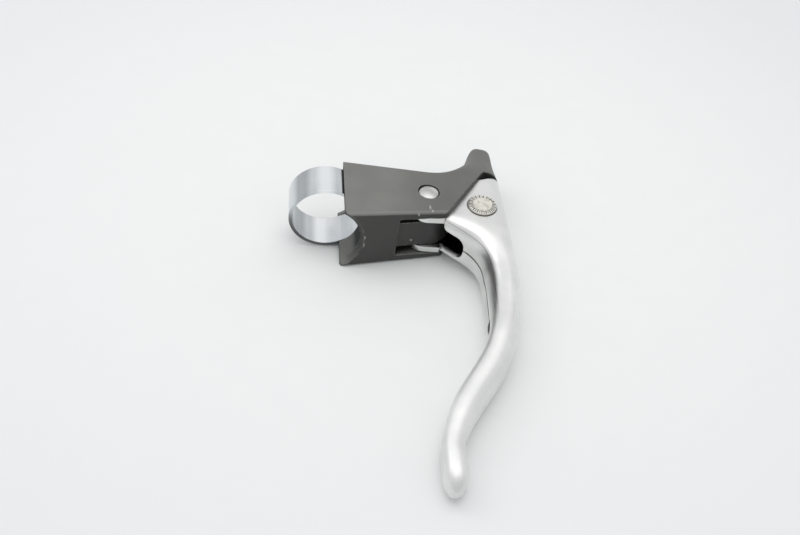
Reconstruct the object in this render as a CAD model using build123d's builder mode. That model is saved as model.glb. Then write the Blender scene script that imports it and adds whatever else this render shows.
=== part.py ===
from build123d import *
import os
from math import acos, atan2, cos, degrees, hypot, radians, sin

os.makedirs("parts", exist_ok=True)

# Brake lever for a drop handlebar, lying on its side, in millimetres.
# The origin is the centre of the clamp band. X points forward from the bar to the lever,
# Y follows the bar towards the cable horn and Z is the width, so XY is the plane of symmetry.

# Handlebar clamp
bar_radius = 11.9
band_thickness = 1.2
band_width = 13.1
band_loop_width = 10.4
band_bend_radius = 1.5
strap_angle = 62.0
nut_thickness = 5.0
nut_height = 9.0
nut_bar_gap = 1.5
take_up = 1.6
bolt_radius = 2.5
bolt_tilt = 9.5
bolt_tip = 0.6
bolt_head_radius = 3.9
bolt_head_height = 3.0
bolt_edge_radius = 0.5
driver_slot_width = 1.2
driver_slot_depth = 1.5
washer_radius = 4.1
washer_thickness = 1.0
web_thickness = 3.2

# Pivot
pivot_ahead = 11.6
pivot_drop = 2.2
pin_radius = 2.3
pin_head_radius = 3.45
pin_head_height = 1.4
pin_dome_height = 0.45

# Cable anchor in the lever, from the pivot
anchor_ahead = 19.4
anchor_drop = 2.9
anchor_radius = 4.1
anchor_head_radius = 5.15
anchor_head_height = 1.0
anchor_dish_radius = 3.6
anchor_dish_depth = 0.35
anchor_teeth = 36
tooth_depth = 0.4
tooth_width = 0.4
cable_radius = 0.9
nipple_radius = 2.9
nipple_depth = 5.2

# Folded lever, places from the pivot
sheet = 2.2
boss_radius = 5.6
arm_depth = 10.8
arm_corner_radius = 5.0
flange_start = 5.3
flange_bend_angle = 48.0
flange_bend_radius = 16.6
flange_straight = 2.0
blade_back = 17.6
blade_front = 29.5
blade_top = 32.8
front_bow = 0.95
lever_top = 14.1
front_corner_radius = 5.5
shoulder_radius = 4.2
seam_depth = 0.35
slit_width = 0.35
opening_half_width = 4.4
opening_length = 8.9
opening_corner_radius = 3.0
flange_corner_radius = 1.2
relief_radius = 2.1
relief_drop = 53.4
relief_length = 4.8

# Lower blade: each row is one cross-section, with the place of its inner edge from the pivot,
# the direction across the blade, its depth, half its width, its front and inner radii and its seam
blade_rows = [
    (17.8, -39.0, -2.0, 11.2, 8.0, 5.4, 4.1, 0.35),
    (17.4, -48.0, -6.0, 10.4, 7.8, 5.1, 4.0, 0.4),
    (16.5, -57.0, -14.0, 9.7, 7.5, 4.9, 3.8, 0.5),
    (13.9, -65.3, -24.0, 9.3, 7.1, 4.7, 3.6, 0.6),
    (7.7, -76.4, -30.5, 9.2, 6.5, 4.4, 3.4, 0.7),
    (1.1, -88.1, -28.4, 8.6, 6.0, 4.1, 3.3, 0.8),
    (-1.8, -96.3, -20.0, 7.5, 5.6, 3.6, 3.2, 0.9),
    (-3.3, -103.3, -6.0, 6.9, 5.4, 3.4, 3.0, 0.9),
    (-3.6, -109.8, 0.0, 7.3, 5.5, 3.5, 3.0, 0.9),
    (-3.5, -114.2, 4.0, 7.3, 5.2, 3.3, 2.9, 0.8),
    (-2.9, -117.0, 6.0, 6.0, 4.3, 2.7, 2.4, 0.55),
    (-2.1, -118.9, 8.0, 3.9, 2.8, 1.75, 1.55, 0.3),
    (-1.2, -119.8, 8.0, 1.9, 1.4, 0.85, 0.75, 0.12),
]
hollow_rows = 7

# Moulded body
body_rear = 5.7
rear_top = 10.9
rear_bottom = 18.1
band_proud = 0.3
waist_top = 9.75
waist_bottom = 13.3
waist_half_width = 10.9
edge_radius = 1.6
waist_offset = 0.5
waist_lead = 10.4
block_half_width = 5.5
block_nose_radius = 9.4
block_recess = 0.9
slot_reach = 10.8
slot_knee = 3.0
roof_gap = 0.6
saddle_chamfer = 2.4
pin_seat = 9.4
diagonal_foot = (6.0, -10.1)
diagonal_head = (22.0, 15.35)
rear_corner_radius = 2.0
rear_top_radius = 0.8
foot_corner_radius = 3.0
cap_corner_radius = 1.5
cap_pocket_half_width = 6.2
cap_pocket_top = 19.6
cap_wall = 2.4
housing_radius = 2.5
housing_depth = 12.0
tip_radius = 1.0

# Neck and horn: each row is one cross-section, with the place of its rear edge from the pivot,
# the direction across the horn, its depth, half its width, and its rear and front radii
horn_rows = [
    (5.06, 12.55, -62.0, 24.0, 10.75, 1.9, 1.6),
    (9.3, 14.4, -54.0, 24.0, 10.5, 2.2, 3.0),
    (14.5, 19.9, -35.0, 17.0, 9.2, 3.0, 6.0),
    (16.8, 25.6, -16.0, 11.2, 6.9, 3.2, 4.6),
    (18.6, 31.2, -11.0, 9.2, 5.4, 3.2, 3.8),
    (20.3, 35.1, -11.0, 7.3, 4.5, 2.6, 3.0),
]

# Clearances
band_gap = 0.2
saddle_gap = 0.1
nut_gap = 0.3
thread_gap = 0.02
bolt_gap = 0.4
washer_gap = 0.25
running_fit = 0.05
seat_fit = 0.02
head_gap = 0.4
arm_gap = 0.4
side_gap = 0.3
anchor_gap = 0.1
rest_gap = 0.3
outline_gap = 0.05
housing_gap = 0.1
cable_gap = 0.3

# Values worked out along the clamp bolt and across the width
band_radius = bar_radius + band_thickness
loop_half_width = band_loop_width / 2
nut_rear = bar_radius + nut_bar_gap
loop_face = nut_rear + nut_thickness
pocket_front = loop_face + band_thickness + take_up
nut_middle = nut_rear + nut_thickness / 2
washer_seat = (pocket_front + web_thickness - nut_middle) / cos(radians(bolt_tilt))
pivot_x = pocket_front + web_thickness + pivot_ahead
pivot_y = -pivot_drop
arm_inner = block_half_width + arm_gap
lever_half_width = arm_inner + sheet
cavity_half_width = lever_half_width + side_gap
band_slot_half = band_width / 2 + band_gap
through = 2 * blade_front  # length of a cut that passes right through the part

# Planes that several pieces share
pivot_plane = Plane(origin=(pivot_x, pivot_y, 0))
clamp_plane = Plane(origin=(0, 0, 0), x_dir=(1, 0, 0), z_dir=(0, -1, 0))
bolt_way = (cos(radians(bolt_tilt)), sin(radians(bolt_tilt)), 0)
bolt_plane = Plane(origin=(nut_middle, 0, 0), x_dir=(0, 0, 1), z_dir=bolt_way)


def across(start_x, start_y, angle):
    # plane of a cross-section: its x runs from the inner or rear edge to the front, its y along Z
    turn = radians(angle)
    return Plane(
        origin=(pivot_x + start_x, pivot_y + start_y, 0),
        x_dir=(cos(turn), sin(turn), 0),
        z_dir=(sin(turn), -cos(turn), 0),
    )


def body_section(depth, half, rear_r, front_r):
    # rounded rectangle with its own radius at the rear and at the front
    Line((0, rear_r - half), (0, half - rear_r))
    CenterArc((rear_r, half - rear_r), rear_r, 90, 90)
    Line((rear_r, half), (depth - front_r, half))
    CenterArc((depth - front_r, half - front_r), front_r, 0, 90)
    Line((depth, half - front_r), (depth, front_r - half))
    CenterArc((depth - front_r, front_r - half), front_r, 270, 90)
    Line((depth - front_r, -half), (rear_r, -half))
    CenterArc((rear_r, rear_r - half), rear_r, 180, 90)


def lobe_radius(flat, seam):
    # radius of a lobe that starts level with the shoulder and dips by the seam's depth
    return (flat**2 + seam**2) / (2 * seam)


def blade_section(depth, half, front_r, inner_r, seam):
    # folded section: round front, round shoulders and two lobes that meet in the seam
    flat = half - inner_r
    lobe = lobe_radius(flat, seam)
    sweep_angle = degrees(atan2(flat, lobe - seam))
    CenterArc((lobe, flat), lobe, 180, sweep_angle)
    CenterArc((inner_r, flat), inner_r, 90, 90)
    Line((inner_r, half), (depth - front_r, half))
    CenterArc((depth - front_r, half - front_r), front_r, 0, 90)
    Line((depth, half - front_r), (depth, front_r - half))
    CenterArc((depth - front_r, front_r - half), front_r, 270, 90)
    Line((depth - front_r, -half), (inner_r, -half))
    CenterArc((inner_r, -flat), inner_r, 180, 90)
    CenterArc((lobe, -flat), lobe, 180 - sweep_angle, sweep_angle)


def band_outline(radius, loop_half, face, mode=Mode.ADD):
    # circle round the bar, with straight flanks that run to a square loop
    leave_turn = radians(strap_angle)
    leave_x = radius * cos(leave_turn)
    leave_z = radius * sin(leave_turn)
    loop_x = (radius - loop_half * sin(leave_turn)) / cos(leave_turn)
    Circle(radius, mode=mode)
    Polygon(
        (leave_x, leave_z),
        (loop_x, loop_half),
        (face, loop_half),
        (face, -loop_half),
        (loop_x, -loop_half),
        (leave_x, -leave_z),
        align=None,
        mode=mode,
    )


# Clamp band: a strap round the bar, with a square loop in front that holds the nut
with BuildPart() as clamp_band:
    with BuildSketch(clamp_plane):
        band_outline(band_radius, loop_half_width + band_thickness, loop_face + band_thickness)
        band_outline(bar_radius, loop_half_width, loop_face, Mode.SUBTRACT)
    extrude(amount=band_width / 2, both=True)
    with BuildSketch(bolt_plane):
        Circle(bolt_radius + bolt_gap)
    extrude(amount=through / 2, mode=Mode.SUBTRACT)
    loop_corners = clamp_band.edges().filter_by(Axis.Y).sort_by(Axis.X)
    fillet(loop_corners[-2:], band_bend_radius)
clamp_band.part.label = "clamp_band"
export_step(clamp_band.part, "parts/clamp_band.step")

# Nut inside the loop, tapped along the tilted bolt
with BuildPart() as clamp_nut:
    with Locations((nut_middle, 0, 0)):
        Box(nut_thickness, nut_height, band_loop_width - 2 * nut_gap)
    chamfer(clamp_nut.edges().filter_by(Axis.X), nut_gap)
    with BuildSketch(bolt_plane):
        Circle(bolt_radius + thread_gap)
    extrude(amount=through / 2, both=True, mode=Mode.SUBTRACT)
clamp_nut.part.label = "clamp_nut"
export_step(clamp_nut.part, "parts/clamp_nut.step")

# Washer under the bolt head
with BuildPart() as clamp_washer:
    with BuildSketch(bolt_plane.offset(washer_seat)):
        Circle(washer_radius)
        Circle(bolt_radius + washer_gap, mode=Mode.SUBTRACT)
    extrude(amount=washer_thickness)
clamp_washer.part.label = "clamp_washer"
export_step(clamp_washer.part, "parts/clamp_washer.step")

# Clamp bolt with a slotted cheese head
head_seat = washer_seat + washer_thickness
bolt_end = nut_thickness / 2 / cos(radians(bolt_tilt)) + bolt_tip
with BuildPart() as clamp_bolt:
    with BuildSketch(bolt_plane.offset(-bolt_end)):
        Circle(bolt_radius)
    extrude(amount=bolt_end + head_seat)
    with BuildSketch(bolt_plane.offset(head_seat)):
        Circle(bolt_head_radius)
    extrude(amount=bolt_head_height)
    head_top = clamp_bolt.faces().sort_by(Axis.X)[-1]
    fillet(head_top.edges(), bolt_edge_radius)
    with BuildSketch(bolt_plane.offset(head_seat + bolt_head_height - driver_slot_depth)):
        Rectangle(driver_slot_width, 2 * bolt_head_radius + driver_slot_width)
    extrude(amount=driver_slot_depth, mode=Mode.SUBTRACT)
clamp_bolt.part.label = "clamp_bolt"
export_step(clamp_bolt.part, "parts/clamp_bolt.step")

# Pivot rivet: a shank through the walls, the block and both arms, with a domed head on each side
dome_sphere = (pin_head_radius**2 + pin_dome_height**2) / (2 * pin_dome_height)
with BuildPart() as pivot_pin:
    with BuildSketch(Plane(origin=(pivot_x, pivot_y, 0), x_dir=(1, 0, 0), z_dir=(0, -1, 0))):
        with BuildLine():
            head_top_z = pin_seat + pin_head_height
            Line((0, 0), (pin_radius, 0))
            Line((pin_radius, 0), (pin_radius, pin_seat))
            Line((pin_radius, pin_seat), (pin_head_radius, pin_seat))
            Line((pin_head_radius, pin_seat), (pin_head_radius, head_top_z))
            RadiusArc((pin_head_radius, head_top_z), (0, head_top_z + pin_dome_height), -dome_sphere)
            Line((0, head_top_z + pin_dome_height), (0, 0))
        make_face()
    revolve(axis=Axis((pivot_x, pivot_y, 0), (0, 0, 1)))
    mirror(about=Plane.XY)
pivot_pin.part.label = "pivot_pin"
export_step(pivot_pin.part, "parts/pivot_pin.step")

# Outline of the lever in the plane of symmetry, all from the pivot
fold = radians(flange_bend_angle)
bend_middle = (blade_back - flange_bend_radius, flange_straight - blade_top)
bend_point = (
    bend_middle[0] + flange_bend_radius * cos(fold),
    bend_middle[1] + flange_bend_radius * sin(fold),
)
flange_run = (bend_point[0] - flange_start) / sin(fold)
flange_point = (flange_start, bend_point[1] + flange_run * cos(fold))
top_corner = (blade_front - front_bow, lever_top)
top_reach = hypot(*top_corner)
boss_angle = atan2(top_corner[1], top_corner[0]) + acos(boss_radius / top_reach)
top_start = (boss_radius * cos(boss_angle), boss_radius * sin(boss_angle))
top_slope = (top_corner[1] - top_start[1]) / (top_corner[0] - top_start[0])
bow_height = lever_top + blade_top
bow_radius = (bow_height**2 + front_bow**2) / (2 * front_bow)
bow_middle = (blade_front - bow_radius, -blade_top)
junction = (blade_back, -blade_top, 0.0, blade_front - blade_back)
junction_row = junction + (lever_half_width, front_corner_radius, shoulder_radius, seam_depth)


def top_line(x):
    # height of the lever's straight top edge, which is tangent to the pivot boss
    return top_start[1] + (x - top_start[0]) * top_slope


def round_long_edges(solid, half, front_r, flange_r):
    # round the front corners and the shoulders of a channel that is 2 * half wide
    rims = solid.edges().filter_by(lambda edge: abs(abs(edge.center().Z) - half) < seat_fit)
    fillet(rims.sort_by(Axis.X)[-2:], front_r)
    rims = solid.edges().filter_by(lambda edge: abs(abs(edge.center().Z) - half) < seat_fit)
    low = pivot_y - blade_top + seat_fit
    high = pivot_y + flange_point[1]
    fillet(rims.filter_by(lambda edge: low < edge.center().Y < high), flange_r)


# Outer form of the folded channel, from the lever's top to the start of the blade
with BuildPart() as channel_skin:
    with BuildSketch(pivot_plane):
        with BuildLine():
            Line(flange_point, bend_point)
            CenterArc(bend_middle, flange_bend_radius, 0, flange_bend_angle)
            Line((blade_back, bend_middle[1]), (blade_back, -blade_top))
            Line((blade_back, -blade_top), (blade_front, -blade_top))
            CenterArc(bow_middle, bow_radius, 0, degrees(atan2(bow_height, bow_radius - front_bow)))
            Line(top_corner, (flange_start, top_line(flange_start)))
            Line((flange_start, top_line(flange_start)), flange_point)
        make_face()
    extrude(amount=lever_half_width, both=True)
    round_long_edges(channel_skin, lever_half_width, front_corner_radius, shoulder_radius)

# Hollow of the channel, one sheet thickness inside it and open at the top and the rear
inward = (cos(fold), sin(fold))
hollow_top = lever_top + sheet
hollow_rear = flange_start - sheet
bend_inner = (bend_point[0] + sheet * inward[0], bend_point[1] + sheet * inward[1])
flange_inner_run = (bend_inner[0] - hollow_rear) / sin(fold)
flange_inner = (hollow_rear, bend_inner[1] + flange_inner_run * cos(fold))
bow_inner = bow_radius - sheet
bow_inner_angle = degrees(atan2(blade_top + hollow_top, bow_inner))
bow_inner_end = (
    bow_middle[0] + bow_inner * cos(radians(bow_inner_angle)),
    bow_middle[1] + bow_inner * sin(radians(bow_inner_angle)),
)
with BuildPart() as channel_hollow:
    with BuildSketch(pivot_plane):
        with BuildLine():
            Line(flange_inner, bend_inner)
            CenterArc(bend_middle, flange_bend_radius + sheet, 0, flange_bend_angle)
            Line((blade_back + sheet, bend_middle[1]), (blade_back + sheet, -blade_top))
            Line((blade_back + sheet, -blade_top), (blade_front - sheet, -blade_top))
            CenterArc(bow_middle, bow_inner, 0, bow_inner_angle)
            Line(bow_inner_end, (hollow_rear, bow_inner_end[1]))
            Line((hollow_rear, bow_inner_end[1]), flange_inner)
        make_face()
    extrude(amount=arm_inner, both=True)
    round_long_edges(channel_hollow, arm_inner, front_corner_radius - sheet, shoulder_radius - sheet)

# Outer form and hollow of the blade, through its cross-sections
with BuildPart() as blade_skin:
    for x, y, angle, depth, half, front_r, inner_r, seam in [junction_row] + blade_rows:
        with BuildSketch(across(x, y, angle)):
            with BuildLine():
                blade_section(depth, half, front_r, inner_r, seam)
            make_face()
    loft()

with BuildPart() as blade_hollow:
    for x, y, angle, depth, half, front_r, inner_r, seam in [junction_row] + blade_rows[:hollow_rows]:
        turn = radians(angle)
        with BuildSketch(across(x + sheet * cos(turn), y + sheet * sin(turn), angle)):
            with BuildLine():
                body_section(depth - 2 * sheet, half - sheet, inner_r - sheet, front_r - sheet)
            make_face()
    loft()
    add(channel_hollow.part)

# Groove between the two flanges, swept along the folded edge of the channel
seam_flat = lever_half_width - shoulder_radius
seam_lobe = lobe_radius(seam_flat, seam_depth)
seam_angle = degrees(atan2(seam_flat, seam_lobe - seam_depth))
with BuildPart() as seam_groove:
    with BuildLine(pivot_plane) as seam_path:
        Line((blade_back, -blade_top), (blade_back, bend_middle[1]))
        CenterArc(bend_middle, flange_bend_radius, 0, flange_bend_angle)
        Line(bend_point, flange_point)
    with BuildSketch(across(blade_back, -blade_top, 0)):
        with BuildLine():
            CenterArc((seam_lobe, seam_flat), seam_lobe, 180, seam_angle)
            CenterArc((seam_lobe, -seam_flat), seam_lobe, 180 - seam_angle, seam_angle)
            Line((0, -seam_flat), (-seam_depth, -seam_flat))
            Line((-seam_depth, -seam_flat), (-seam_depth, seam_flat))
            Line((-seam_depth, seam_flat), (0, seam_flat))
        make_face()
    sweep(path=seam_path.line)

# Brake lever: folded channel and blade, with two arms back to the pivot
lap_foot = flange_point[1] + shoulder_radius / sin(fold) + sheet / 2
lap_side = flange_start + sheet / 2
opening_plane = Plane(
    origin=(pivot_x + flange_point[0], pivot_y + flange_point[1], 0),
    x_dir=(sin(fold), -cos(fold), 0),
    z_dir=(cos(fold), sin(fold), 0),
)
relief_plane = Plane(
    origin=(pivot_x + blade_back - sheet, pivot_y - relief_drop, 0), x_dir=(0, -1, 0), z_dir=(1, 0, 0)
)
relief_tangent = acos(relief_radius / relief_length)
with BuildPart() as brake_lever:
    add(channel_skin.part)
    add(blade_skin.part)
    add(blade_hollow.part, mode=Mode.SUBTRACT)
    add(seam_groove.part, mode=Mode.SUBTRACT)
    with BuildSketch(pivot_plane.offset(arm_inner)):
        with BuildLine():
            Line(top_start, (lap_side, top_line(lap_side)))
            Line((lap_side, top_line(lap_side)), (lap_side, lap_foot + sheet / 2))
            Line((lap_side, lap_foot + sheet / 2), (flange_start, lap_foot))
            Line((flange_start, lap_foot), (flange_start, -arm_depth))
            Line((flange_start, -arm_depth), (arm_corner_radius - boss_radius, -arm_depth))
            CenterArc(
                (arm_corner_radius - boss_radius, arm_corner_radius - arm_depth), arm_corner_radius, 180, 90
            )
            Line((-boss_radius, arm_corner_radius - arm_depth), (-boss_radius, 0))
            CenterArc((0, 0), boss_radius, degrees(boss_angle), 180 - degrees(boss_angle))
        make_face()
    arms = extrude(amount=sheet)
    mirror(arms, about=Plane.XY)
    # opening between the flanges for the block and the cable
    with BuildSketch(opening_plane.offset(-sheet)) as opening:
        with Locations((opening_length / 2 - sheet, 0)):
            Rectangle(opening_length + 2 * sheet, 2 * opening_half_width)
        fillet(opening.vertices().sort_by(Axis.X)[-2:], opening_corner_radius)
    extrude(amount=3 * sheet, mode=Mode.SUBTRACT)
    mouth_edges = brake_lever.edges().filter_by(
        lambda edge: abs(abs(edge.center().Z) - opening_half_width) < seat_fit
    )
    fillet(mouth_edges.sort_by(Axis.X)[:2], flange_corner_radius)
    # slit between the flanges, down to the relief hole
    with BuildSketch(pivot_plane):
        with Locations((blade_back, (bend_point[1] - relief_drop) / 2)):
            Rectangle(4 * sheet, relief_drop + bend_point[1])
    extrude(amount=slit_width / 2, both=True, mode=Mode.SUBTRACT)
    with BuildSketch(relief_plane):
        Circle(relief_radius)
        with BuildLine():
            tangent_x = relief_radius * cos(relief_tangent)
            tangent_y = relief_radius * sin(relief_tangent)
            Polyline((tangent_x, tangent_y), (relief_length, 0), (tangent_x, -tangent_y), close=True)
        make_face()
    extrude(amount=3 * sheet, mode=Mode.SUBTRACT)
    # holes for the pivot and the cable anchor through both sides
    with BuildSketch(pivot_plane):
        Circle(pin_radius + running_fit)
        with Locations((anchor_ahead, -anchor_drop)):
            Circle(anchor_radius + running_fit)
    extrude(amount=through, both=True, mode=Mode.SUBTRACT)
brake_lever.part.label = "brake_lever"
export_step(brake_lever.part, "parts/brake_lever.step")

# Cable line: from the middle of the horn's tip straight to the anchor
tip_x, tip_y, tip_angle, tip_depth = horn_rows[-1][:4]
tip_turn = radians(tip_angle)
tip_middle = (
    pivot_x + tip_x + tip_depth / 2 * cos(tip_turn),
    pivot_y + tip_y + tip_depth / 2 * sin(tip_turn),
)
anchor_middle = (pivot_x + anchor_ahead, pivot_y - anchor_drop)
cable_way = (tip_middle[0] - anchor_middle[0], tip_middle[1] - anchor_middle[1], 0)
horn_plane = Plane(origin=(*tip_middle, 0), x_dir=(0, 0, 1), z_dir=cable_way)
nipple_plane = Plane(origin=(*anchor_middle, 0), x_dir=(0, 0, 1), z_dir=cable_way)

# Cable anchor: a barrel across the lever, its ends spread into toothed heads
head_base = lever_half_width + anchor_gap
head_face = head_base + anchor_head_height
with BuildPart() as cable_anchor:
    with BuildSketch(Plane(origin=(*anchor_middle, 0), x_dir=(1, 0, 0), z_dir=(0, -1, 0))):
        with BuildLine():
            Polyline(
                (0, 0),
                (anchor_radius, 0),
                (anchor_radius, head_base),
                (anchor_head_radius, head_base),
                (anchor_head_radius, head_face - tooth_depth),
                (anchor_head_radius - tooth_depth, head_face),
                (anchor_dish_radius, head_face),
                (anchor_dish_radius - anchor_dish_depth, head_face - anchor_dish_depth),
                (0, head_face - anchor_dish_depth),
                close=True,
            )
        make_face()
    revolve(axis=Axis((*anchor_middle, 0), (0, 0, 1)))
    with BuildSketch(Plane(origin=(*anchor_middle, head_face - tooth_depth))):
        with PolarLocations((anchor_head_radius + anchor_dish_radius) / 2, anchor_teeth):
            Rectangle(anchor_head_radius - anchor_dish_radius, tooth_width)
    extrude(amount=2 * tooth_depth, mode=Mode.SUBTRACT)
    mirror(about=Plane.XY)
    with BuildSketch(nipple_plane):
        Circle(cable_radius + cable_gap)
    extrude(amount=2 * anchor_radius, mode=Mode.SUBTRACT)
    with BuildSketch(nipple_plane.offset(nipple_depth - anchor_radius)):
        Circle(nipple_radius)
    extrude(amount=-3 * anchor_radius, mode=Mode.SUBTRACT)
cable_anchor.part.label = "cable_anchor"
export_step(cable_anchor.part, "parts/cable_anchor.step")

# Rear of the body: a tapered block with the saddle, the band groove and the strap pocket
saddle_radius = bar_radius + saddle_gap
rear_half_width = band_radius - band_proud
waist_x = pivot_x + waist_offset
rear_taper = (rear_bottom - waist_bottom) / (waist_x - body_rear)
waist_foot_y = waist_lead * rear_taper - waist_bottom
waist_angle = degrees(atan2(waist_foot_y - waist_top, waist_lead))
waist_depth = hypot(waist_lead, waist_top - waist_foot_y)
rear_row = (body_rear - pivot_x, rear_top - pivot_y, -90.0, rear_top + rear_bottom, rear_half_width)
waist_row = (waist_offset, waist_top - pivot_y, waist_angle, waist_depth, waist_half_width)
with BuildPart() as rear_block:
    for x, y, angle, depth, half in (rear_row, waist_row):
        with BuildSketch(across(x, y, angle)):
            with BuildLine():
                body_section(depth, half, edge_radius, edge_radius)
            make_face()
    loft(ruled=True)
    with BuildSketch(clamp_plane):
        Circle(saddle_radius)
    extrude(amount=through, both=True, mode=Mode.SUBTRACT)
    for rim_y, inward_y in ((rear_top, -saddle_chamfer), (-rear_bottom, saddle_chamfer)):
        with BuildSketch(Plane.XY):
            Polygon(
                (0, rim_y + inward_y),
                (saddle_radius, rim_y + inward_y),
                (saddle_radius + 2 * saddle_chamfer, rim_y - inward_y),
                (0, rim_y - inward_y),
                align=None,
            )
        revolve(axis=Axis.Y, mode=Mode.SUBTRACT)
    with BuildSketch(clamp_plane):
        band_outline(band_radius + band_gap, loop_half_width + band_thickness + nut_gap, pocket_front)
    extrude(amount=band_slot_half, both=True, mode=Mode.SUBTRACT)

# Neck, cap and horn: one skin that turns up from the waist to the tip of the horn
with BuildPart() as neck:
    for x, y, angle, depth, half, rear_r, front_r in [waist_row + (edge_radius, edge_radius)] + horn_rows:
        with BuildSketch(across(x, y, angle)):
            with BuildLine():
                body_section(depth, half, rear_r, front_r)
            make_face()
    loft()
    tip_face = neck.faces().sort_by_distance((*tip_middle, 0))[0]
    fillet(tip_face.edges(), tip_radius)

# Outlines inside the body, all from the pivot
foot_x, foot_y = diagonal_foot
head_x, head_y = diagonal_head
diagonal_slope = (head_x - foot_x) / (head_y - foot_y)
low = foot_y - through / 4
rear_corner = (body_rear - pivot_x - outline_gap, -rear_bottom - pivot_y - outline_gap)
top_corner_rear = (rear_corner[0], rear_top - pivot_y + outline_gap)
top_run = 2 * rear_top_radius
top_taper = (waist_top - rear_top) / (waist_x - body_rear)
top_step = (top_corner_rear[0] + top_run, top_corner_rear[1] + top_run * top_taper)
foot_rise = rear_corner[1] + (foot_x - rear_corner[0] - foot_y * diagonal_slope) * rear_taper
foot_corner_y = foot_rise / (1 - diagonal_slope * rear_taper)
foot_corner = (foot_x + (foot_corner_y - foot_y) * diagonal_slope, foot_corner_y)
cap_front = (top_corner[0], top_corner[1] + rest_gap)
cap_slope = (cap_front[1] - head_y) / (cap_front[0] - head_x)
roof_radius = boss_radius + roof_gap
roof_turn = atan2(top_slope, 1)


def roof_line(x):
    # underside of the roof, parallel to the lever's top edge
    return (roof_radius + x * sin(roof_turn)) / cos(roof_turn)


slot_shoulder = -roof_radius - roof_gap
block_rear_y = (pivot_x - slot_reach - body_rear) * rear_taper - rear_bottom
with BuildPart() as lever_body:
    add(rear_block.part)
    add(neck.part)
    # space round the side outline: round rear and front corners below, slanted front edge, open under the cap
    with BuildSketch(pivot_plane) as space:
        with BuildLine():
            Polyline(
                (top_step[0], through),
                top_step,
                top_corner_rear,
                rear_corner,
                foot_corner,
                (head_x, head_y),
                (through, head_y + (through - head_x) * cap_slope),
                (through, -through),
                (-through, -through),
                (-through, through),
                close=True,
            )
        make_face()
        fillet(space.vertices().sort_by_distance(top_corner_rear)[0], rear_top_radius)
        fillet(space.vertices().sort_by_distance(rear_corner)[0], rear_corner_radius)
        fillet(space.vertices().sort_by_distance(foot_corner)[0], foot_corner_radius)
        fillet(space.vertices().sort_by_distance((head_x, head_y))[0], cap_corner_radius)
    extrude(amount=through, both=True, mode=Mode.SUBTRACT)
    # room for both arms and the channel, open below
    with BuildSketch(pivot_plane):
        with BuildLine():
            Polyline(
                (-slot_reach, low),
                (-slot_reach, -slot_knee),
                (slot_shoulder, roof_line(slot_shoulder)),
                (head_x, roof_line(head_x)),
                (through, roof_line(head_x)),
                (through, low),
                close=True,
            )
        make_face()
    extrude(amount=cavity_half_width, both=True, mode=Mode.SUBTRACT)
    # block between the arms, round at the front so that the flanges swing past it
    with BuildSketch(pivot_plane):
        Circle(block_nose_radius)
        with BuildLine():
            Polyline(
                (-slot_reach - web_thickness, block_rear_y - pivot_y + block_recess),
                (0, -block_nose_radius),
                (0, block_nose_radius),
                (-slot_reach - web_thickness, block_nose_radius),
                close=True,
            )
        make_face()
    extrude(amount=block_half_width, both=True)
    # pocket inside the cap for the cable
    with BuildSketch(pivot_plane):
        with BuildLine():
            Polyline(
                (head_x - 4 * cap_wall, roof_line(head_x - 4 * cap_wall)),
                (head_x - 2 * cap_wall, cap_pocket_top),
                (cap_front[0] - cap_wall, cap_pocket_top),
                (cap_front[0] - cap_wall, roof_line(head_x)),
                close=True,
            )
        make_face()
    extrude(amount=cap_pocket_half_width, both=True, mode=Mode.SUBTRACT)
    # bolt hole, and the bore for the washer, the head and a driver
    with BuildSketch(bolt_plane):
        Circle(bolt_radius + bolt_gap)
    extrude(amount=washer_seat, mode=Mode.SUBTRACT)
    with BuildSketch(bolt_plane.offset(washer_seat)):
        Circle(washer_radius + washer_gap)
    extrude(amount=pivot_x - nut_middle - washer_seat + block_nose_radius, mode=Mode.SUBTRACT)
    # pivot hole with a pocket for each rivet head
    with BuildSketch(pivot_plane):
        Circle(pin_radius + seat_fit)
    extrude(amount=through, both=True, mode=Mode.SUBTRACT)
    for side in (1, -1):
        with BuildSketch(pivot_plane.offset(side * pin_seat)):
            Circle(pin_head_radius + head_gap)
        extrude(amount=side * through, mode=Mode.SUBTRACT)
    # seat for the cable housing in the horn, and the cable hole below it
    with BuildSketch(horn_plane.offset(-housing_depth)):
        Circle(housing_radius + housing_gap)
    extrude(amount=through, mode=Mode.SUBTRACT)
    with BuildSketch(horn_plane):
        Circle(cable_radius + cable_gap)
    extrude(amount=anchor_middle[1] - tip_middle[1], mode=Mode.SUBTRACT)
lever_body.part.label = "lever_body"
export_step(lever_body.part, "parts/lever_body.step")
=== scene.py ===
import math

import bpy
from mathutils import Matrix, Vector

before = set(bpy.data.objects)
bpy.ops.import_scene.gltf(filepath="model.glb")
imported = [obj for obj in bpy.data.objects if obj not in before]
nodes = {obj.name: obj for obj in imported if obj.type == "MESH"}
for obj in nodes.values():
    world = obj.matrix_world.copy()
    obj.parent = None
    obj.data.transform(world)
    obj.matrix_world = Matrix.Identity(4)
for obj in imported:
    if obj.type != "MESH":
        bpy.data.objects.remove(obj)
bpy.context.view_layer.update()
print("frame:", len(nodes), "nodes")


# small helpers for shader trees
def fill(tree, sockets, values):
    for key, value in values.items():
        if isinstance(value, bpy.types.NodeSocket):
            tree.links.new(value, sockets[key])
        else:
            sockets[key].default_value = value


def addNode(tree, kind, inputs=None, **settings):
    node = tree.nodes.new(kind)
    for key, value in settings.items():
        setattr(node, key, value)
    fill(tree, node.inputs, inputs or {})
    return node


def mathNode(tree, operation, first, second=0.0, clamp=False):
    settings = {"operation": operation, "use_clamp": clamp}
    return addNode(tree, "ShaderNodeMath", {0: first, 1: second}, **settings).outputs[0]


def product(tree, first, *others):
    for other in others:
        first = mathNode(tree, "MULTIPLY", first, other)
    return first


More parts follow.
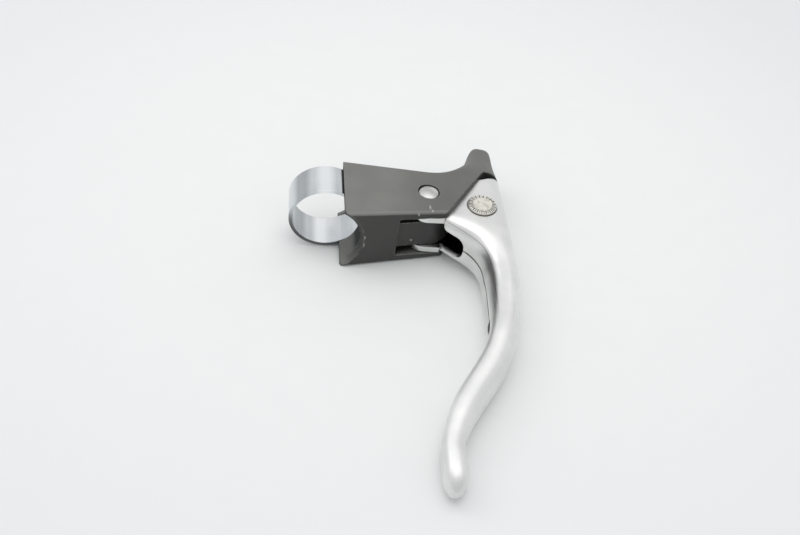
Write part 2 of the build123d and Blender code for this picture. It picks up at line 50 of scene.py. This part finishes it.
def vectorNode(tree, operation, first, second=(0.0, 0.0, 0.0)):
    node = addNode(tree, "ShaderNodeVectorMath", {0: first, 1: second}, operation=operation)
    return node.outputs["Value" if operation in ("DOT_PRODUCT", "LENGTH", "DISTANCE") else "Vector"]


def axesOf(tree, vector):
    return addNode(tree, "ShaderNodeSeparateXYZ", {0: vector}).outputs


def noiseNode(tree, place, scale, detail):
    inputs = {"Vector": place, "Scale": scale, "Detail": detail}
    return addNode(tree, "ShaderNodeTexNoise", inputs).outputs["Fac"]


def ramp(tree, value, low, high, toLow=0.0, toHigh=1.0):
    inputs = {"Value": value, "From Min": low, "From Max": high, "To Min": toLow, "To Max": toHigh}
    return addNode(tree, "ShaderNodeMapRange", inputs, interpolation_type="SMOOTHSTEP").outputs["Result"]


def mixColour(tree, factor, first, second):
    node = addNode(tree, "ShaderNodeMix", data_type="RGBA")
    for index, value in ((0, factor), (6, first), (7, second)):  # the colour sockets of this node
        fill(tree, node.inputs, {index: (*value, 1.0) if isinstance(value, tuple) else value})
    return node.outputs[2]


def startGroup(name, inputs, outputs):
    group = bpy.data.node_groups.new(name, "ShaderNodeTree")
    for label, kind, value in inputs:
        socket = group.interface.new_socket(label, in_out="INPUT", socket_type="NodeSocket" + kind)
        if value is not None:
            socket.default_value = value
    for label in outputs:
        group.interface.new_socket(label, in_out="OUTPUT", socket_type="NodeSocketFloat")
    entry = group.nodes.new("NodeGroupInput")
    leave = group.nodes.new("NodeGroupOutput")
    return group, entry.outputs, leave.inputs


# moulded or blasted grain: a fine height and a slow change of tone
def makeGrain():
    inputs = (("Place", "Vector", None), ("Size", "Float", 0.4))
    group, given, result = startGroup("surfaceGrain", inputs, ("Height", "Tone"))
    toneScale = 0.09
    scale = mathNode(group, "DIVIDE", 1.0, given["Size"])
    cells = {"Vector": given["Place"], "Scale": scale}
    pits = addNode(group, "ShaderNodeTexVoronoi", cells, feature="SMOOTH_F1").outputs["Distance"]
    fine = noiseNode(group, given["Place"], scale, 3.0)
    slow = noiseNode(group, given["Place"], toneScale, 4.0)
    fill(group, result, {
        "Height": mathNode(group, "ADD", pits, fine),
        "Tone": ramp(group, slow, 0.3, 0.7),
    })
    return group


# drawn or polished streaks: noise stretched by a vector
def makeStreaks():
    inputs = (("Place", "Vector", None), ("Stretch", "Vector", (4.0, 0.2, 4.0)))
    group, given, result = startGroup("polishStreaks", inputs, ("Height", "Scratch"))
    sparseScale = 0.45
    stretched = vectorNode(group, "MULTIPLY", given["Place"], given["Stretch"])
    sparse = noiseNode(group, stretched, sparseScale, 2.0)
    fill(group, result, {
        "Height": noiseNode(group, stretched, 1.0, 5.0),
        "Scratch": ramp(group, sparse, 0.66, 0.74),
    })
    return group


# wear with a painted highlight on edges, and dirt with painted shade in corners, from the shape itself
def makeEdges():
    inputs = (("Place", "Vector", None), ("Edge", "Float", 0.0003), ("Corner", "Float", 0.0015))
    group, given, result = startGroup("edgesAndCorners", inputs, ("WearAndHighlight", "DirtAndShade"))
    patchScale = 1.1
    facing = addNode(group, "ShaderNodeNewGeometry").outputs["Normal"]
    rounded = addNode(group, "ShaderNodeBevel", {"Radius": given["Edge"]}, samples=6).outputs[0]
    edge = ramp(group, vectorNode(group, "DOT_PRODUCT", facing, rounded), 0.995, 0.9)
    patchy = ramp(group, noiseNode(group, given["Place"], patchScale, 4.0), 0.42, 0.62)
    shut = addNode(group, "ShaderNodeAmbientOcclusion", {"Distance": given["Corner"]}, samples=6)
    fill(group, result, {
        "WearAndHighlight": product(group, edge, patchy),
        "DirtAndShade": ramp(group, shut.outputs["AO"], 0.75, 0.3),
    })
    return group


# sparse pale specks of dust
def makeSpecks():
    inputs = (("Place", "Vector", None), ("Spacing", "Float", 3.0), ("Share", "Float", 0.2))
    group, given, result = startGroup("dustSpecks", inputs, ("Mask",))
    scale = mathNode(group, "DIVIDE", 1.0, given["Spacing"])
    cells = addNode(group, "ShaderNodeTexVoronoi", {"Vector": given["Place"], "Scale": scale}).outputs
    chosen = mathNode(group, "LESS_THAN", cells["Color"], given["Share"])
    spot = ramp(group, cells["Distance"], 0.075, 0.035)
    fill(group, result, {"Mask": product(group, spot, chosen)})
    return group


# one scuff of a given size at a given place, with a ragged outline
def makeScuff():
    inputs = (
        ("Place", "Vector", None),
        ("Centre", "Vector", None),
        ("Squeeze", "Vector", (1.0, 1.0, 1.0)),
    )
    group, given, result = startGroup("scuffMark", inputs, ("Mask",))
    tearScale = 2.6
    tearDepth = 1.3
    away = vectorNode(group, "SUBTRACT", given["Place"], given["Centre"])
    reach = vectorNode(group, "LENGTH", vectorNode(group, "MULTIPLY", away, given["Squeeze"]))
    torn = product(group, noiseNode(group, given["Place"], tearScale, 4.0), tearDepth)
    fill(group, result, {"Mask": ramp(group, mathNode(group, "ADD", reach, torn), 1.35, 1.05)})
    return group


# space that walls close in on, such as the inside of a channel, for painted shade
def makeClosed():
    group, given, result = startGroup("closedIn", (("Distance", "Float", 0.01),), ("Mask",))
    reach = {"Distance": given["Distance"]}
    shut = addNode(group, "ShaderNodeAmbientOcclusion", reach, samples=8, only_local=True)
    fill(group, result, {"Mask": ramp(group, shut.outputs["AO"], 0.62, 0.40)})
    return group


# thin line at one level across the width, on the rear of the lever, fading in and out
def makeLineAtLevel():
    inputs = (("Place", "Vector", None), ("Level", "Float", 7.0), ("Width", "Float", 0.13))
    group, given, result = startGroup("lineAtLevel", inputs, ("Mask",))
    wanderScale = 0.12
    wanderDepth = 0.3
    lean = 0.12  # going down, the lever's rear runs forward by this share
    rearEnds = (56.0, 53.0)
    upperEnds = (-11.0, -14.0)
    lowerEnds = (-62.0, -46.0)
    axes = axesOf(group, given["Place"])
    wander = product(group, noiseNode(group, given["Place"], wanderScale, 2.0), wanderDepth)
    middle = mathNode(group, "ADD", given["Level"], wanderDepth / 2)
    away = mathNode(group, "SUBTRACT", mathNode(group, "ADD", axes["Z"], wander), middle)
    core = product(group, given["Width"], 0.25)
    line = ramp(group, mathNode(group, "ABSOLUTE", away), given["Width"], core)
    rear = ramp(group, mathNode(group, "ADD", axes["X"], product(group, axes["Y"], lean)), *rearEnds)
    ends = product(group, ramp(group, axes["Y"], *upperEnds), ramp(group, axes["Y"], *lowerEnds))
    fill(group, result, {"Mask": product(group, line, rear, ends)})
    return group


# height of a side that falls away towards a curved fold, in shares of a depth
def makeCrown():
    inputs = (
        ("Place", "Vector", None),
        ("Centre", "Vector", None),
        ("Radius", "Float", 16.0),
        ("Reach", "Float", 10.0),
    )
    group, given, result = startGroup("foldCrown", inputs, ("Height",))
    fadeEnds = (-28.0, -4.0)
    axes = axesOf(group, vectorNode(group, "SUBTRACT", given["Place"], given["Centre"]))
    above = mathNode(group, "MAXIMUM", axes["Y"], 0.0)  # below the centre the fold runs straight down
    flat = addNode(group, "ShaderNodeCombineXYZ", {"X": axes["X"], "Y": above}).outputs[0]
    outside = mathNode(group, "ADD", given["Radius"], given["Reach"])
    inward = mathNode(group, "SUBTRACT", outside, vectorNode(group, "LENGTH", flat))
    share = mathNode(group, "MAXIMUM", mathNode(group, "DIVIDE", inward, given["Reach"]), 0.0)
    fade = ramp(group, axes["Y"], *fadeEnds)
    fill(group, result, {"Height": product(group, share, share, fade, -1.0)})
    return group


# disc round an axis along the width
def makeDisc():
    inputs = (("Place", "Vector", None), ("Centre", "Vector", None), ("Radius", "Float", 3.0))
    group, given, result = startGroup("discMask", inputs, ("Mask",))
    blur = 0.2
    away = vectorNode(group, "SUBTRACT", given["Place"], given["Centre"])
    reach = vectorNode(group, "LENGTH", vectorNode(group, "MULTIPLY", away, (1.0, 1.0, 0.0)))
    edge = mathNode(group, "SUBTRACT", given["Radius"], reach)
    fill(group, result, {"Mask": ramp(group, edge, -blur, blur)})
    return group


# slow change of tone away from a centre, for a painted falloff of light
def makeSpread():
    inputs = (("Place", "Vector", None), ("Centre", "Vector", None))
    group, given, result = startGroup("slowSpread", inputs, ("Mask",))
    spreadEnds = (60.0, 260.0)
    away = vectorNode(group, "DISTANCE", given["Place"], given["Centre"])
    fill(group, result, {"Mask": ramp(group, away, *spreadEnds)})
    return group


groups = {
    "grain": makeGrain(),
    "streaks": makeStreaks(),
    "edges": makeEdges(),
    "specks": makeSpecks(),
    "scuff": makeScuff(),
    "closed": makeClosed(),
    "levelLine": makeLineAtLevel(),
    "crown": makeCrown(),
    "disc": makeDisc(),
    "spread": makeSpread(),
}
print("shader groups:", len(groups))


def useGroup(tree, name, inputs):
    return addNode(tree, "ShaderNodeGroup", inputs, node_tree=groups[name]).outputs


def startMaterial(name):
    material = bpy.data.materials.new(name)
    material.use_nodes = True
    tree = material.node_tree
    shader = tree.nodes["Principled BSDF"]
    spot = addNode(tree, "ShaderNodeTexCoord").outputs["Object"]
    place = addNode(tree, "ShaderNodeVectorMath", {0: spot, "Scale": 1000.0}, operation="SCALE")
    return material, tree, shader, place.outputs[0]  # place is in millimetres


# colour that takes on a second one by a mask and a weight
def tint(tree, mask, weight, colour, other):
    return mixColour(tree, product(tree, mask, weight), colour, other)


# which way the surface faces, in the piece's own axes
def facingOf(tree):
    return axesOf(tree, addNode(tree, "ShaderNodeTexCoord").outputs["Normal"])


def softEdges(tree, radius):
    return addNode(tree, "ShaderNodeBevel", {"Radius": radius}, samples=6).outputs[0]


def bumpNode(tree, height, strength, distance, normal=None):
    inputs = {"Height": height, "Strength": strength, "Distance": distance}
    if normal is not None:
        inputs["Normal"] = normal
    return addNode(tree, "ShaderNodeBump", inputs).outputs[0]


# lever body: dark warm grey moulded plastic
bodyLook = {
    "dark": (0.036, 0.037, 0.034),
    "light": (0.046, 0.047, 0.043),
    "shine": 0.5,
    "rough": (0.44, 0.58),
    "grainSize": 0.35,
    "grainStrength": 0.5,
    "grainDepth": 0.00004,
    "edgeRadius": 0.0009,
    # paler on what faces up, weaker ahead: painted light, with dust
    "dustAndLightTop": (0.190, 0.191, 0.177),
    "dustAndLightFacing": (0.1, 0.9),
    "dustAndLightPatches": 0.85,
    "dustAndLightEnds": (18.0, 40.0),
    "dustAndLightFront": 0.62,
    # painted highlight along the edge between the near side and the underside
    "paintedSheen": (0.30, 0.30, 0.28),
    "sheenWay": (0.0, -0.707, 0.707),
    "sheenFacing": (0.84, 0.97),
    "sheenWeight": 0.5,
    # painted shade inside the slots, and a painted shadow on the saddle where the strap leaves it
    "inside": (0.005, 0.005, 0.005),
    "insideReach": 0.008,
    "insideWeight": 0.9,
    "saddleReach": (13.6, 13.1),
    "saddleAlong": (-17.0, -14.0),
    "saddleAcross": (-7.5, -4.0),
    "saddleWeight": 0.85,
    # dirt and painted shade in corners
    "dirtAndShadeTone": (0.018, 0.017, 0.016),
    "dirtAndShadeReach": 0.0012,
    "dirtAndShadeWeight": 0.55,
    # wear and a painted highlight on the edges
    "wearAndHighlightTone": (0.32, 0.32, 0.30),
    "wearAndHighlightWeight": 0.5,
    "mark": (0.78, 0.78, 0.75),
    "markWeight": 0.38,
    "dustSpacing": 4.0,
    "dustShare": 0.10,
    "dustWeight": 0.6,
    # places and squeezes of single scuffs, in millimetres
    "scuffs": (
        ((35.7, -10.8, 11.4), (1.9, 0.55, 1.0)),
        ((36.5, -12.4, 11.1), (1.6, 1.3, 1.0)),
        ((31.6, -14.0, 10.4), (1.6, 1.6, 1.0)),
        ((13.5, -16.9, 1.0), (2.2, 2.2, 0.8)),
        ((13.5, -16.9, -2.4), (2.6, 2.6, 0.6)),
        ((30.6, -12.6, -3.0), (1.3, 1.6, 1.3)),
    ),
}


# dust and scuffs together
def bodyMarks(tree, place, look):
    dustLook = {"Place": place, "Spacing": look["dustSpacing"], "Share": look["dustShare"]}
    marks = product(tree, useGroup(tree, "specks", dustLook)["Mask"], look["dustWeight"])
    for centre, squeeze in look["scuffs"]:
        scuff = useGroup(tree, "scuff", {"Place": place, "Centre": centre, "Squeeze": squeeze})
        marks = mathNode(tree, "MAXIMUM", marks, scuff["Mask"])
    return marks


# part of the saddle round the bar's axis, where the strap's shadow is painted
def saddleShade(tree, place, look):
    axes = axesOf(tree, place)
    reach = vectorNode(tree, "LENGTH", vectorNode(tree, "MULTIPLY", place, (1.0, 0.0, 1.0)))
    near = ramp(tree, reach, *look["saddleReach"])
    along = ramp(tree, axes["Y"], *look["saddleAlong"])
    across = ramp(tree, axes["Z"], *look["saddleAcross"], 0.0, look["saddleWeight"])
    return product(tree, near, along, across)


def makeBodyPlastic(look):
    material, tree, shader, place = startMaterial("bodyPlastic")
    radius = look["edgeRadius"]
    grain = useGroup(tree, "grain", {"Place": place, "Size": look["grainSize"]})
    edges = useGroup(tree, "edges", {"Place": place, "Edge": radius, "Corner": look["dirtAndShadeReach"]})
    upward = ramp(tree, facingOf(tree)["Z"], *look["dustAndLightFacing"])
    patches = ramp(tree, grain["Tone"], 0.0, 1.0, look["dustAndLightPatches"], 1.0)
    fading = ramp(tree, axesOf(tree, place)["X"], *look["dustAndLightEnds"], 1.0, look["dustAndLightFront"])
    soft = softEdges(tree, radius)
    toSheen = vectorNode(tree, "DOT_PRODUCT", soft, look["sheenWay"])
    paintedSheen = ramp(tree, toSheen, *look["sheenFacing"], 0.0, look["sheenWeight"])
    deep = useGroup(tree, "closed", {"Distance": look["insideReach"]})["Mask"]
    saddle = saddleShade(tree, place, look)
    colour = mixColour(tree, grain["Tone"], look["dark"], look["light"])
    # painted light and dust on what faces up
    colour = mixColour(tree, product(tree, upward, patches, fading), colour, look["dustAndLightTop"])
    # painted highlight along the edge
    colour = mixColour(tree, paintedSheen, colour, look["paintedSheen"])
    colour = tint(tree, deep, look["insideWeight"], colour, look["inside"])
    colour = mixColour(tree, saddle, colour, look["inside"])
    colour = tint(tree, edges["DirtAndShade"], look["dirtAndShadeWeight"], colour, look["dirtAndShadeTone"])
    colour = tint(tree, edges["WearAndHighlight"], look["wearAndHighlightWeight"], colour, look["wearAndHighlightTone"])
    colour = tint(tree, bodyMarks(tree, place, look), look["markWeight"], colour, look["mark"])
    # no shine where shade is painted
    lit = mathNode(tree, "SUBTRACT", 1.0, mathNode(tree, "MAXIMUM", saddle, deep), clamp=True)
    fill(tree, shader.inputs, {
        "Base Color": colour,
        "Roughness": ramp(tree, grain["Tone"], 0.0, 1.0, *look["rough"]),
        "Specular IOR Level": product(tree, lit, look["shine"]),
        "Normal": bumpNode(tree, grain["Height"], look["grainStrength"], look["grainDepth"], soft),
    })
    return material


# what the bare metals share
metalLook = {
    "toneSize": 0.8,
    "polishEnds": (0.3, 0.7),
    "streakDepth": 0.00003,
}


# bare metals start alike: tone, scratches, grime with painted shade in corners, polish
def startMetal(look):
    material, tree, shader, place = startMaterial(look["name"])
    radius = look["edgeRadius"]
    grain = useGroup(tree, "grain", {"Place": place, "Size": metalLook["toneSize"]})
    streaks = useGroup(tree, "streaks", {"Place": place, "Stretch": look["stretch"]})
    edges = useGroup(tree, "edges", {"Place": place, "Edge": radius, "Corner": look["corner"]})
    colour = mixColour(tree, grain["Tone"], look["dark"], look["light"])
    colour = tint(tree, streaks["Scratch"], look["scratch"], colour, look["dark"])
    colour = tint(tree, edges["DirtAndShade"], look["grimeAndShade"], colour, look["dirtAndShadeTone"])
    polish = ramp(tree, streaks["Height"], *metalLook["polishEnds"], *look["rough"])
    soft = softEdges(tree, radius)
    smooth = bumpNode(tree, streaks["Height"], look["bump"], metalLook["streakDepth"], soft)
    fill(tree, shader.inputs, {
        "Roughness": polish,
        "Metallic": 1.0,
        "Normal": smooth,
    })
    return material, tree, shader, place, colour


# where the anchor's axis crosses the middle of the lever, in millimetres
anchorMiddle = (55.4, -5.1, 0.0)

# brake lever: polished alloy, with painted shade inside the channel and a painted reflection line along
# the fold
leverLook = {
    "name": "leverAlloy",
    "dark": (0.75, 0.755, 0.745),
    "light": (0.83, 0.835, 0.82),
    "dirtAndShadeTone": (0.20, 0.17, 0.13),
    "inside": (0.016, 0.015, 0.014),
    "insideReach": 0.03,
    "levelLine": (0.42, 0.41, 0.40),
    "reflectionLineLevel": 7.2,
    "reflectionLineWeight": 0.9,
    # grime along the slit, and painted shade round the anchor's head
    "stain": (0.16, 0.13, 0.10),
    "stainLevel": 0.0,
    "stainWidth": 0.6,
    "stainWeight": 0.85,
    "headMiddle": anchorMiddle,
    "headRing": 5.55,
    "headShade": (0.07, 0.055, 0.04),
    "headShadeWeight": 0.8,
    "rough": (0.30, 0.35),
    "tailEnds": (-35.0, -75.0),
    "tailRough": 0.13,
    "stretch": (2.4, 0.2, 2.4),
    "scratch": 0.25,
    "bump": 0.05,
    "corner": 0.0006,
    "grimeAndShade": 0.7,
    "edgeRadius": 0.0005,
    # the side falls away towards the fold, round the middle of its bend
    "bendMiddle": (38.0, -35.0, 0.0),
    "bendRadius": 16.6,
    "crownReach": 10.0,
    "crownDepth": 0.003,
}


def makeLeverAlloy(look):
    material, tree, shader, place, colour = startMetal(look)
    # painted reflection line along the fold
    levelLine = useGroup(tree, "levelLine", {"Place": place, "Level": look["reflectionLineLevel"]})
    colour = tint(tree, levelLine["Mask"], look["reflectionLineWeight"], colour, look["levelLine"])
    slitLook = {"Place": place, "Level": look["stainLevel"], "Width": look["stainWidth"]}
    slit = useGroup(tree, "levelLine", slitLook)
    colour = tint(tree, slit["Mask"], look["stainWeight"], colour, look["stain"])
    # painted shade round the anchor's head
    ringLook = {"Place": place, "Centre": look["headMiddle"], "Radius": look["headRing"]}
    ring = useGroup(tree, "disc", ringLook)
    colour = tint(tree, ring["Mask"], look["headShadeWeight"], colour, look["headShade"])
    # painted shade inside the channel
    inside = useGroup(tree, "closed", {"Distance": look["insideReach"]})
    satin = ramp(tree, axesOf(tree, place)["Y"], *look["tailEnds"], 0.0, look["tailRough"])
    polish = shader.inputs["Roughness"].links[0].from_socket
    smooth = shader.inputs["Normal"].links[0].from_socket
    crown = useGroup(tree, "crown", {
        "Place": place,
        "Centre": look["bendMiddle"],
        "Radius": look["bendRadius"],
        "Reach": look["crownReach"],
    })
    fill(tree, shader.inputs, {
        "Base Color": mixColour(tree, inside["Mask"], colour, look["inside"]),
        "Roughness": mathNode(tree, "ADD", polish, satin),
        "Normal": bumpNode(tree, crown["Height"], 1.0, look["crownDepth"], smooth),
    })
    return material


# clamp band: bluish zinc, smooth and slightly cloudy, with painted reflections and a painted dark lower
# rim
bandLook = {
    "name": "bandSteel",
    "dark": (0.62, 0.65, 0.675),
    "light": (0.76, 0.785, 0.80),
    "cloud": (0.44, 0.47, 0.50),
    "cloudStretch": (0.10, 0.004, 0.10),
    "cloudEnds": (0.40, 0.64),
    "cloudWeight": 0.6,
    # painted reflections: a darker and a lighter stripe along the bar's way: colour, middle, ends, weight
    "reflectionStripes": (
        ((0.30, 0.32, 0.335), -8.8, (3.4, 0.8), 0.6),
        ((0.96, 0.98, 0.99), -0.8, (4.2, 0.6), 0.8),
    ),
    # cut edges, darker below: a painted reflection of the shade under the band
    "rim": (0.06, 0.06, 0.06),
    "rimFacing": (0.6, 0.9),
    "rimEnds": (6.0, -4.0),
    "rimWeight": 0.85,
    "dirtAndShadeTone": (0.25, 0.25, 0.25),
    "rough": (0.10, 0.14),
    "stretch": (0.05, 0.3, 0.05),
    "scratch": 0.2,
    "bump": 0.0,
    "corner": 0.0006,
    "grimeAndShade": 0.4,
    "edgeRadius": 0.00015,
}


def makeBandSteel(look):
    material, tree, shader, place, colour = startMetal(look)
    clouds = useGroup(tree, "streaks", {"Place": place, "Stretch": look["cloudStretch"]})
    cloudy = ramp(tree, clouds["Height"], *look["cloudEnds"], 0.0, look["cloudWeight"])
    colour = mixColour(tree, cloudy, colour, look["cloud"])
    axes = axesOf(tree, place)
    for reflectionTone, middle, ends, weight in look["reflectionStripes"]:
        away = mathNode(tree, "ABSOLUTE", mathNode(tree, "SUBTRACT", axes["X"], middle))
        colour = mixColour(tree, ramp(tree, away, *ends, 0.0, weight), colour, reflectionTone)
    # painted reflection: cut edges darker below
    cut = ramp(tree, mathNode(tree, "ABSOLUTE", facingOf(tree)["Y"]), *look["rimFacing"])
    low = ramp(tree, axes["Z"], *look["rimEnds"], 0.0, look["rimWeight"])
    fill(tree, shader.inputs, {"Base Color": tint(tree, cut, low, colour, look["rim"])})
    return material


# pivot rivet: dented steel
pinLook = {
    "name": "pinSteel",
    "dark": (0.36, 0.355, 0.345),
    "light": (0.76, 0.755, 0.74),
    "dirtAndShadeTone": (0.12, 0.10, 0.08),
    "rough": (0.30, 0.40),
    "stretch": (1.9, 1.9, 1.9),
    "scratch": 0.9,
    "bump": 1.0,
    "corner": 0.0006,
    "grimeAndShade": 0.7,
    "edgeRadius": 0.0002,
}

# cable anchor: worn steel, brown grime with painted shade between the teeth, and a yellowed dish
anchorLook = {
    "name": "anchorSteel",
    "dark": (0.80, 0.79, 0.74),
    "light": (0.92, 0.91, 0.87),
    "dirtAndShadeTone": (0.10, 0.068, 0.036),
    "centre": anchorMiddle,
    "dish": (0.80, 0.785, 0.71),
    "dishRadius": 3.5,
    "dishWeight": 0.75,
    "stain": (0.56, 0.54, 0.45),
    "stainSize": 1.1,
    "stainEnds": (0.75, 1.25),
    # grime and painted shade in every second gap of the toothed ring, more of it above
    "rimRadius": 4.9,
    "toothCount": 36,
    "gapEnds": (0.35, 0.85),
    "gapDepths": (0.4, 1.0),
    "gapReach": 3.0,
    "gapWeight": 0.95,
    "faceEnds": (8.14, 8.54),  # only the head's face, not its barrel
    "rough": (0.32, 0.42),
    "stretch": (1.6, 1.6, 1.6),
    "scratch": 0.5,
    "bump": 0.4,
    "corner": 0.0005,
    "grimeAndShade": 0.5,
    "edgeRadius": 0.0001,
}


# grime and painted shade between the teeth
def toothGrimeAndShade(tree, place, dish, look):
    rim = useGroup(tree, "disc", {"Place": place, "Centre": look["centre"], "Radius": look["rimRadius"]})
    ring = mathNode(tree, "SUBTRACT", rim["Mask"], dish, clamp=True)
    axes = axesOf(tree, vectorNode(tree, "SUBTRACT", place, look["centre"]))
    turn = mathNode(tree, "ARCTAN2", axes["Y"], axes["X"])
    everySecond = mathNode(tree, "COSINE", product(tree, turn, look["toothCount"] / 2))
    filled = ramp(tree, everySecond, *look["gapEnds"])
    deep = ramp(tree, axes["Y"], -look["gapReach"], look["gapReach"], *look["gapDepths"])
    face = ramp(tree, mathNode(tree, "ABSOLUTE", axes["Z"]), *look["faceEnds"])
    return product(tree, filled, deep, ring, face)


def makeAnchorSteel(look):
    material, tree, shader, place, colour = startMetal(look)
    dishLook = {"Place": place, "Centre": look["centre"], "Radius": look["dishRadius"]}
    disc = useGroup(tree, "disc", dishLook)["Mask"]
    mottled = useGroup(tree, "grain", {"Place": place, "Size": look["stainSize"]})
    stained = ramp(tree, mottled["Height"], *look["stainEnds"])
    dish = mixColour(tree, stained, look["dish"], look["stain"])
    colour = tint(tree, disc, look["dishWeight"], colour, dish)
    grimeAndShade = toothGrimeAndShade(tree, place, disc, look)
    fill(tree, shader.inputs, {"Base Color": tint(tree, grimeAndShade, look["gapWeight"], colour, look["dirtAndShadeTone"])})
    return material


# nut, bolt and washer: dull zinc
boltLook = {
    "name": "boltSteel",
    "dark": (0.52, 0.54, 0.55),
    "light": (0.66, 0.68, 0.69),
    "dirtAndShadeTone": (0.12, 0.12, 0.12),
    "rough": (0.31, 0.42),
    "stretch": (2.0, 2.0, 2.0),
    "scratch": 0.4,
    "bump": 0.2,
    "corner": 0.0008,
    "grimeAndShade": 0.6,
    "edgeRadius": 0.00015,
}


def makeMetal(look):
    material, tree, shader, place, colour = startMetal(look)
    fill(tree, shader.inputs, {"Base Color": colour})
    return material


def dress(name, material):
    mesh = nodes[name].data
    mesh.materials.clear()
    mesh.materials.append(material)


dress("lever_body", makeBodyPlastic(bodyLook))
dress("brake_lever", makeLeverAlloy(leverLook))
dress("clamp_band", makeBandSteel(bandLook))
dress("pivot_pin", makeMetal(pinLook))
dress("cable_anchor", makeAnchorSteel(anchorLook))
boltSteel = makeMetal(boltLook)
for name in ("clamp_nut", "clamp_bolt", "clamp_washer"):
    dress(name, boltSteel)
print("materials set on", len(nodes), "nodes")

# pale table: the part lies on its side, on the body and the lever
tableLook = {
    "up": (-0.05528, 0.05550, 0.99693),
    "size": 6.0,
    "corners": ((-1, -1), (-1, 1), (1, 1), (1, -1)),
    "pale": (0.872, 0.884, 0.880),
    "shade": (0.862, 0.874, 0.872),
    # painted falloff of light towards the far table
    "dimmedFar": (0.790, 0.805, 0.815),
    "middle": (40.0, 30.0, 0.0),
    "rough": 0.6,
    "grainSize": 1.5,
    "grainStrength": 0.1,
    "grainDepth": 0.00005,
    "glow": 0.2,  # share of the tone that shadows leave alone
    "glowLevel": 1.0,
    # painted contact shadow: the glow fades close to the part
    "contact": 0.012,  # closer to the part than this, the glow fades
    "contactEnds": (0.35, 0.85),
}


def makeTableMaterial(look):
    material, tree, shader, place = startMaterial("paleTable")
    grain = useGroup(tree, "grain", {"Place": place, "Size": look["grainSize"]})
    spread = useGroup(tree, "spread", {"Place": place, "Centre": look["middle"]})
    colour = mixColour(tree, grain["Tone"], look["shade"], look["pale"])
    colour = mixColour(tree, spread["Mask"], colour, look["dimmedFar"])
    fill(tree, shader.inputs, {
        "Base Color": colour,
        "Roughness": look["rough"],
        "Normal": bumpNode(tree, grain["Height"], look["grainStrength"], look["grainDepth"]),
    })
    rays = addNode(tree, "ShaderNodeLightPath").outputs
    seen = mathNode(tree, "MAXIMUM", rays["Is Camera Ray"], rays["Is Glossy Ray"])
    seen = mathNode(tree, "MAXIMUM", seen, rays["Is Transmission Ray"])
    shut = addNode(tree, "ShaderNodeAmbientOcclusion", {"Distance": look["contact"]}, samples=8)
    clear = ramp(tree, shut.outputs["AO"], *look["contactEnds"])
    glow = addNode(tree, "ShaderNodeEmission", {"Color": colour, "Strength": look["glowLevel"]})
    blend = addNode(tree, "ShaderNodeMixShader", {
        0: product(tree, seen, clear, look["glow"]),
        1: shader.outputs[0],
        2: glow.outputs[0],
    })
    tree.links.new(blend.outputs[0], tree.nodes["Material Output"].inputs["Surface"])
    return material


def makeTable(look):
    up = Vector(look["up"]).normalized()
    lowest = min(up.dot(vertex.co) for node in nodes.values() for vertex in node.data.vertices)
    side = up.cross(Vector((0.0, 1.0, 0.0))).normalized()
    ahead = up.cross(side)
    half = look["size"] / 2
    corners = [up * lowest + side * x * half + ahead * y * half for x, y in look["corners"]]
    mesh = bpy.data.meshes.new("table")
    mesh.from_pydata(corners, [], [(0, 1, 2, 3)])
    mesh.materials.append(makeTableMaterial(look))
    table = bpy.data.objects.new("table", mesh)
    bpy.context.scene.collection.objects.link(table)


makeTable(tableLook)
print("table set")

# soft studio light: a pale room, a little darker low behind the camera, and two large soft lamps
lightLook = {
    "back": (0.85, 0.855, 0.86),
    "near": (0.60, 0.60, 0.61),
    "bright": (0.0, 0.6, 0.8),
    "brightEnds": (-0.35, 0.55),
    "zenith": 0.82,
    "zenithEnds": (0.6, 0.85),
    "strength": 1.0,
    "lamps": (
        {"name": "mainLamp", "place": (0.02, 0.10, 0.90), "size": 0.85, "power": 2.3},
        {"name": "sideLamp", "place": (-0.55, 0.32, 0.62), "size": 0.45, "power": 0.80},
    ),
    "aim": (0.03, -0.03, 0.0),
}


def makeWorld(look):
    world = bpy.data.worlds.new("studio")
    bpy.context.scene.world = world
    world.use_nodes = True
    tree = world.node_tree
    spot = addNode(tree, "ShaderNodeTexCoord").outputs["Generated"]
    toBack = ramp(tree, vectorNode(tree, "DOT_PRODUCT", spot, look["bright"]), *look["brightEnds"])
    dim = ramp(tree, axesOf(tree, spot)["Z"], *look["zenithEnds"], 1.0, look["zenith"])
    colour = mixColour(tree, toBack, look["near"], look["back"])
    dimmed = addNode(tree, "ShaderNodeVectorMath", {0: colour, "Scale": dim}, operation="SCALE")
    fill(tree, tree.nodes["Background"].inputs, {"Color": dimmed.outputs[0], "Strength": look["strength"]})


def makeLamp(lamp, aim):
    data = bpy.data.lights.new(lamp["name"], "AREA")
    data.size = lamp["size"]
    data.energy = lamp["power"]
    obj = bpy.data.objects.new(lamp["name"], data)
    obj.location = lamp["place"]
    obj.rotation_euler = (aim - Vector(lamp["place"])).to_track_quat("-Z", "Y").to_euler()
    bpy.context.scene.collection.objects.link(obj)


makeWorld(lightLook)
for lamp in lightLook["lamps"]:
    makeLamp(lamp, Vector(lightLook["aim"]))

# camera at the photograph's angle
cameraLook = {
    "place": (-0.024641, -0.299248, 0.265082),
    "turn": (45.530, -6.969, -3.688),
    "lens": 50.0,
    "sensor": 36.0,
    "nearest": 0.01,
}


def makeCamera(look):
    data = bpy.data.cameras.new("camera")
    data.lens = look["lens"]
    data.sensor_width = look["sensor"]
    data.clip_start = look["nearest"]
    camera = bpy.data.objects.new("camera", data)
    camera.location = look["place"]
    camera.rotation_euler = [math.radians(angle) for angle in look["turn"]]
    bpy.context.scene.collection.objects.link(camera)
    bpy.context.scene.camera = camera


makeCamera(cameraLook)
bpy.context.scene.view_settings.view_transform = "Standard"
print("light and camera set")
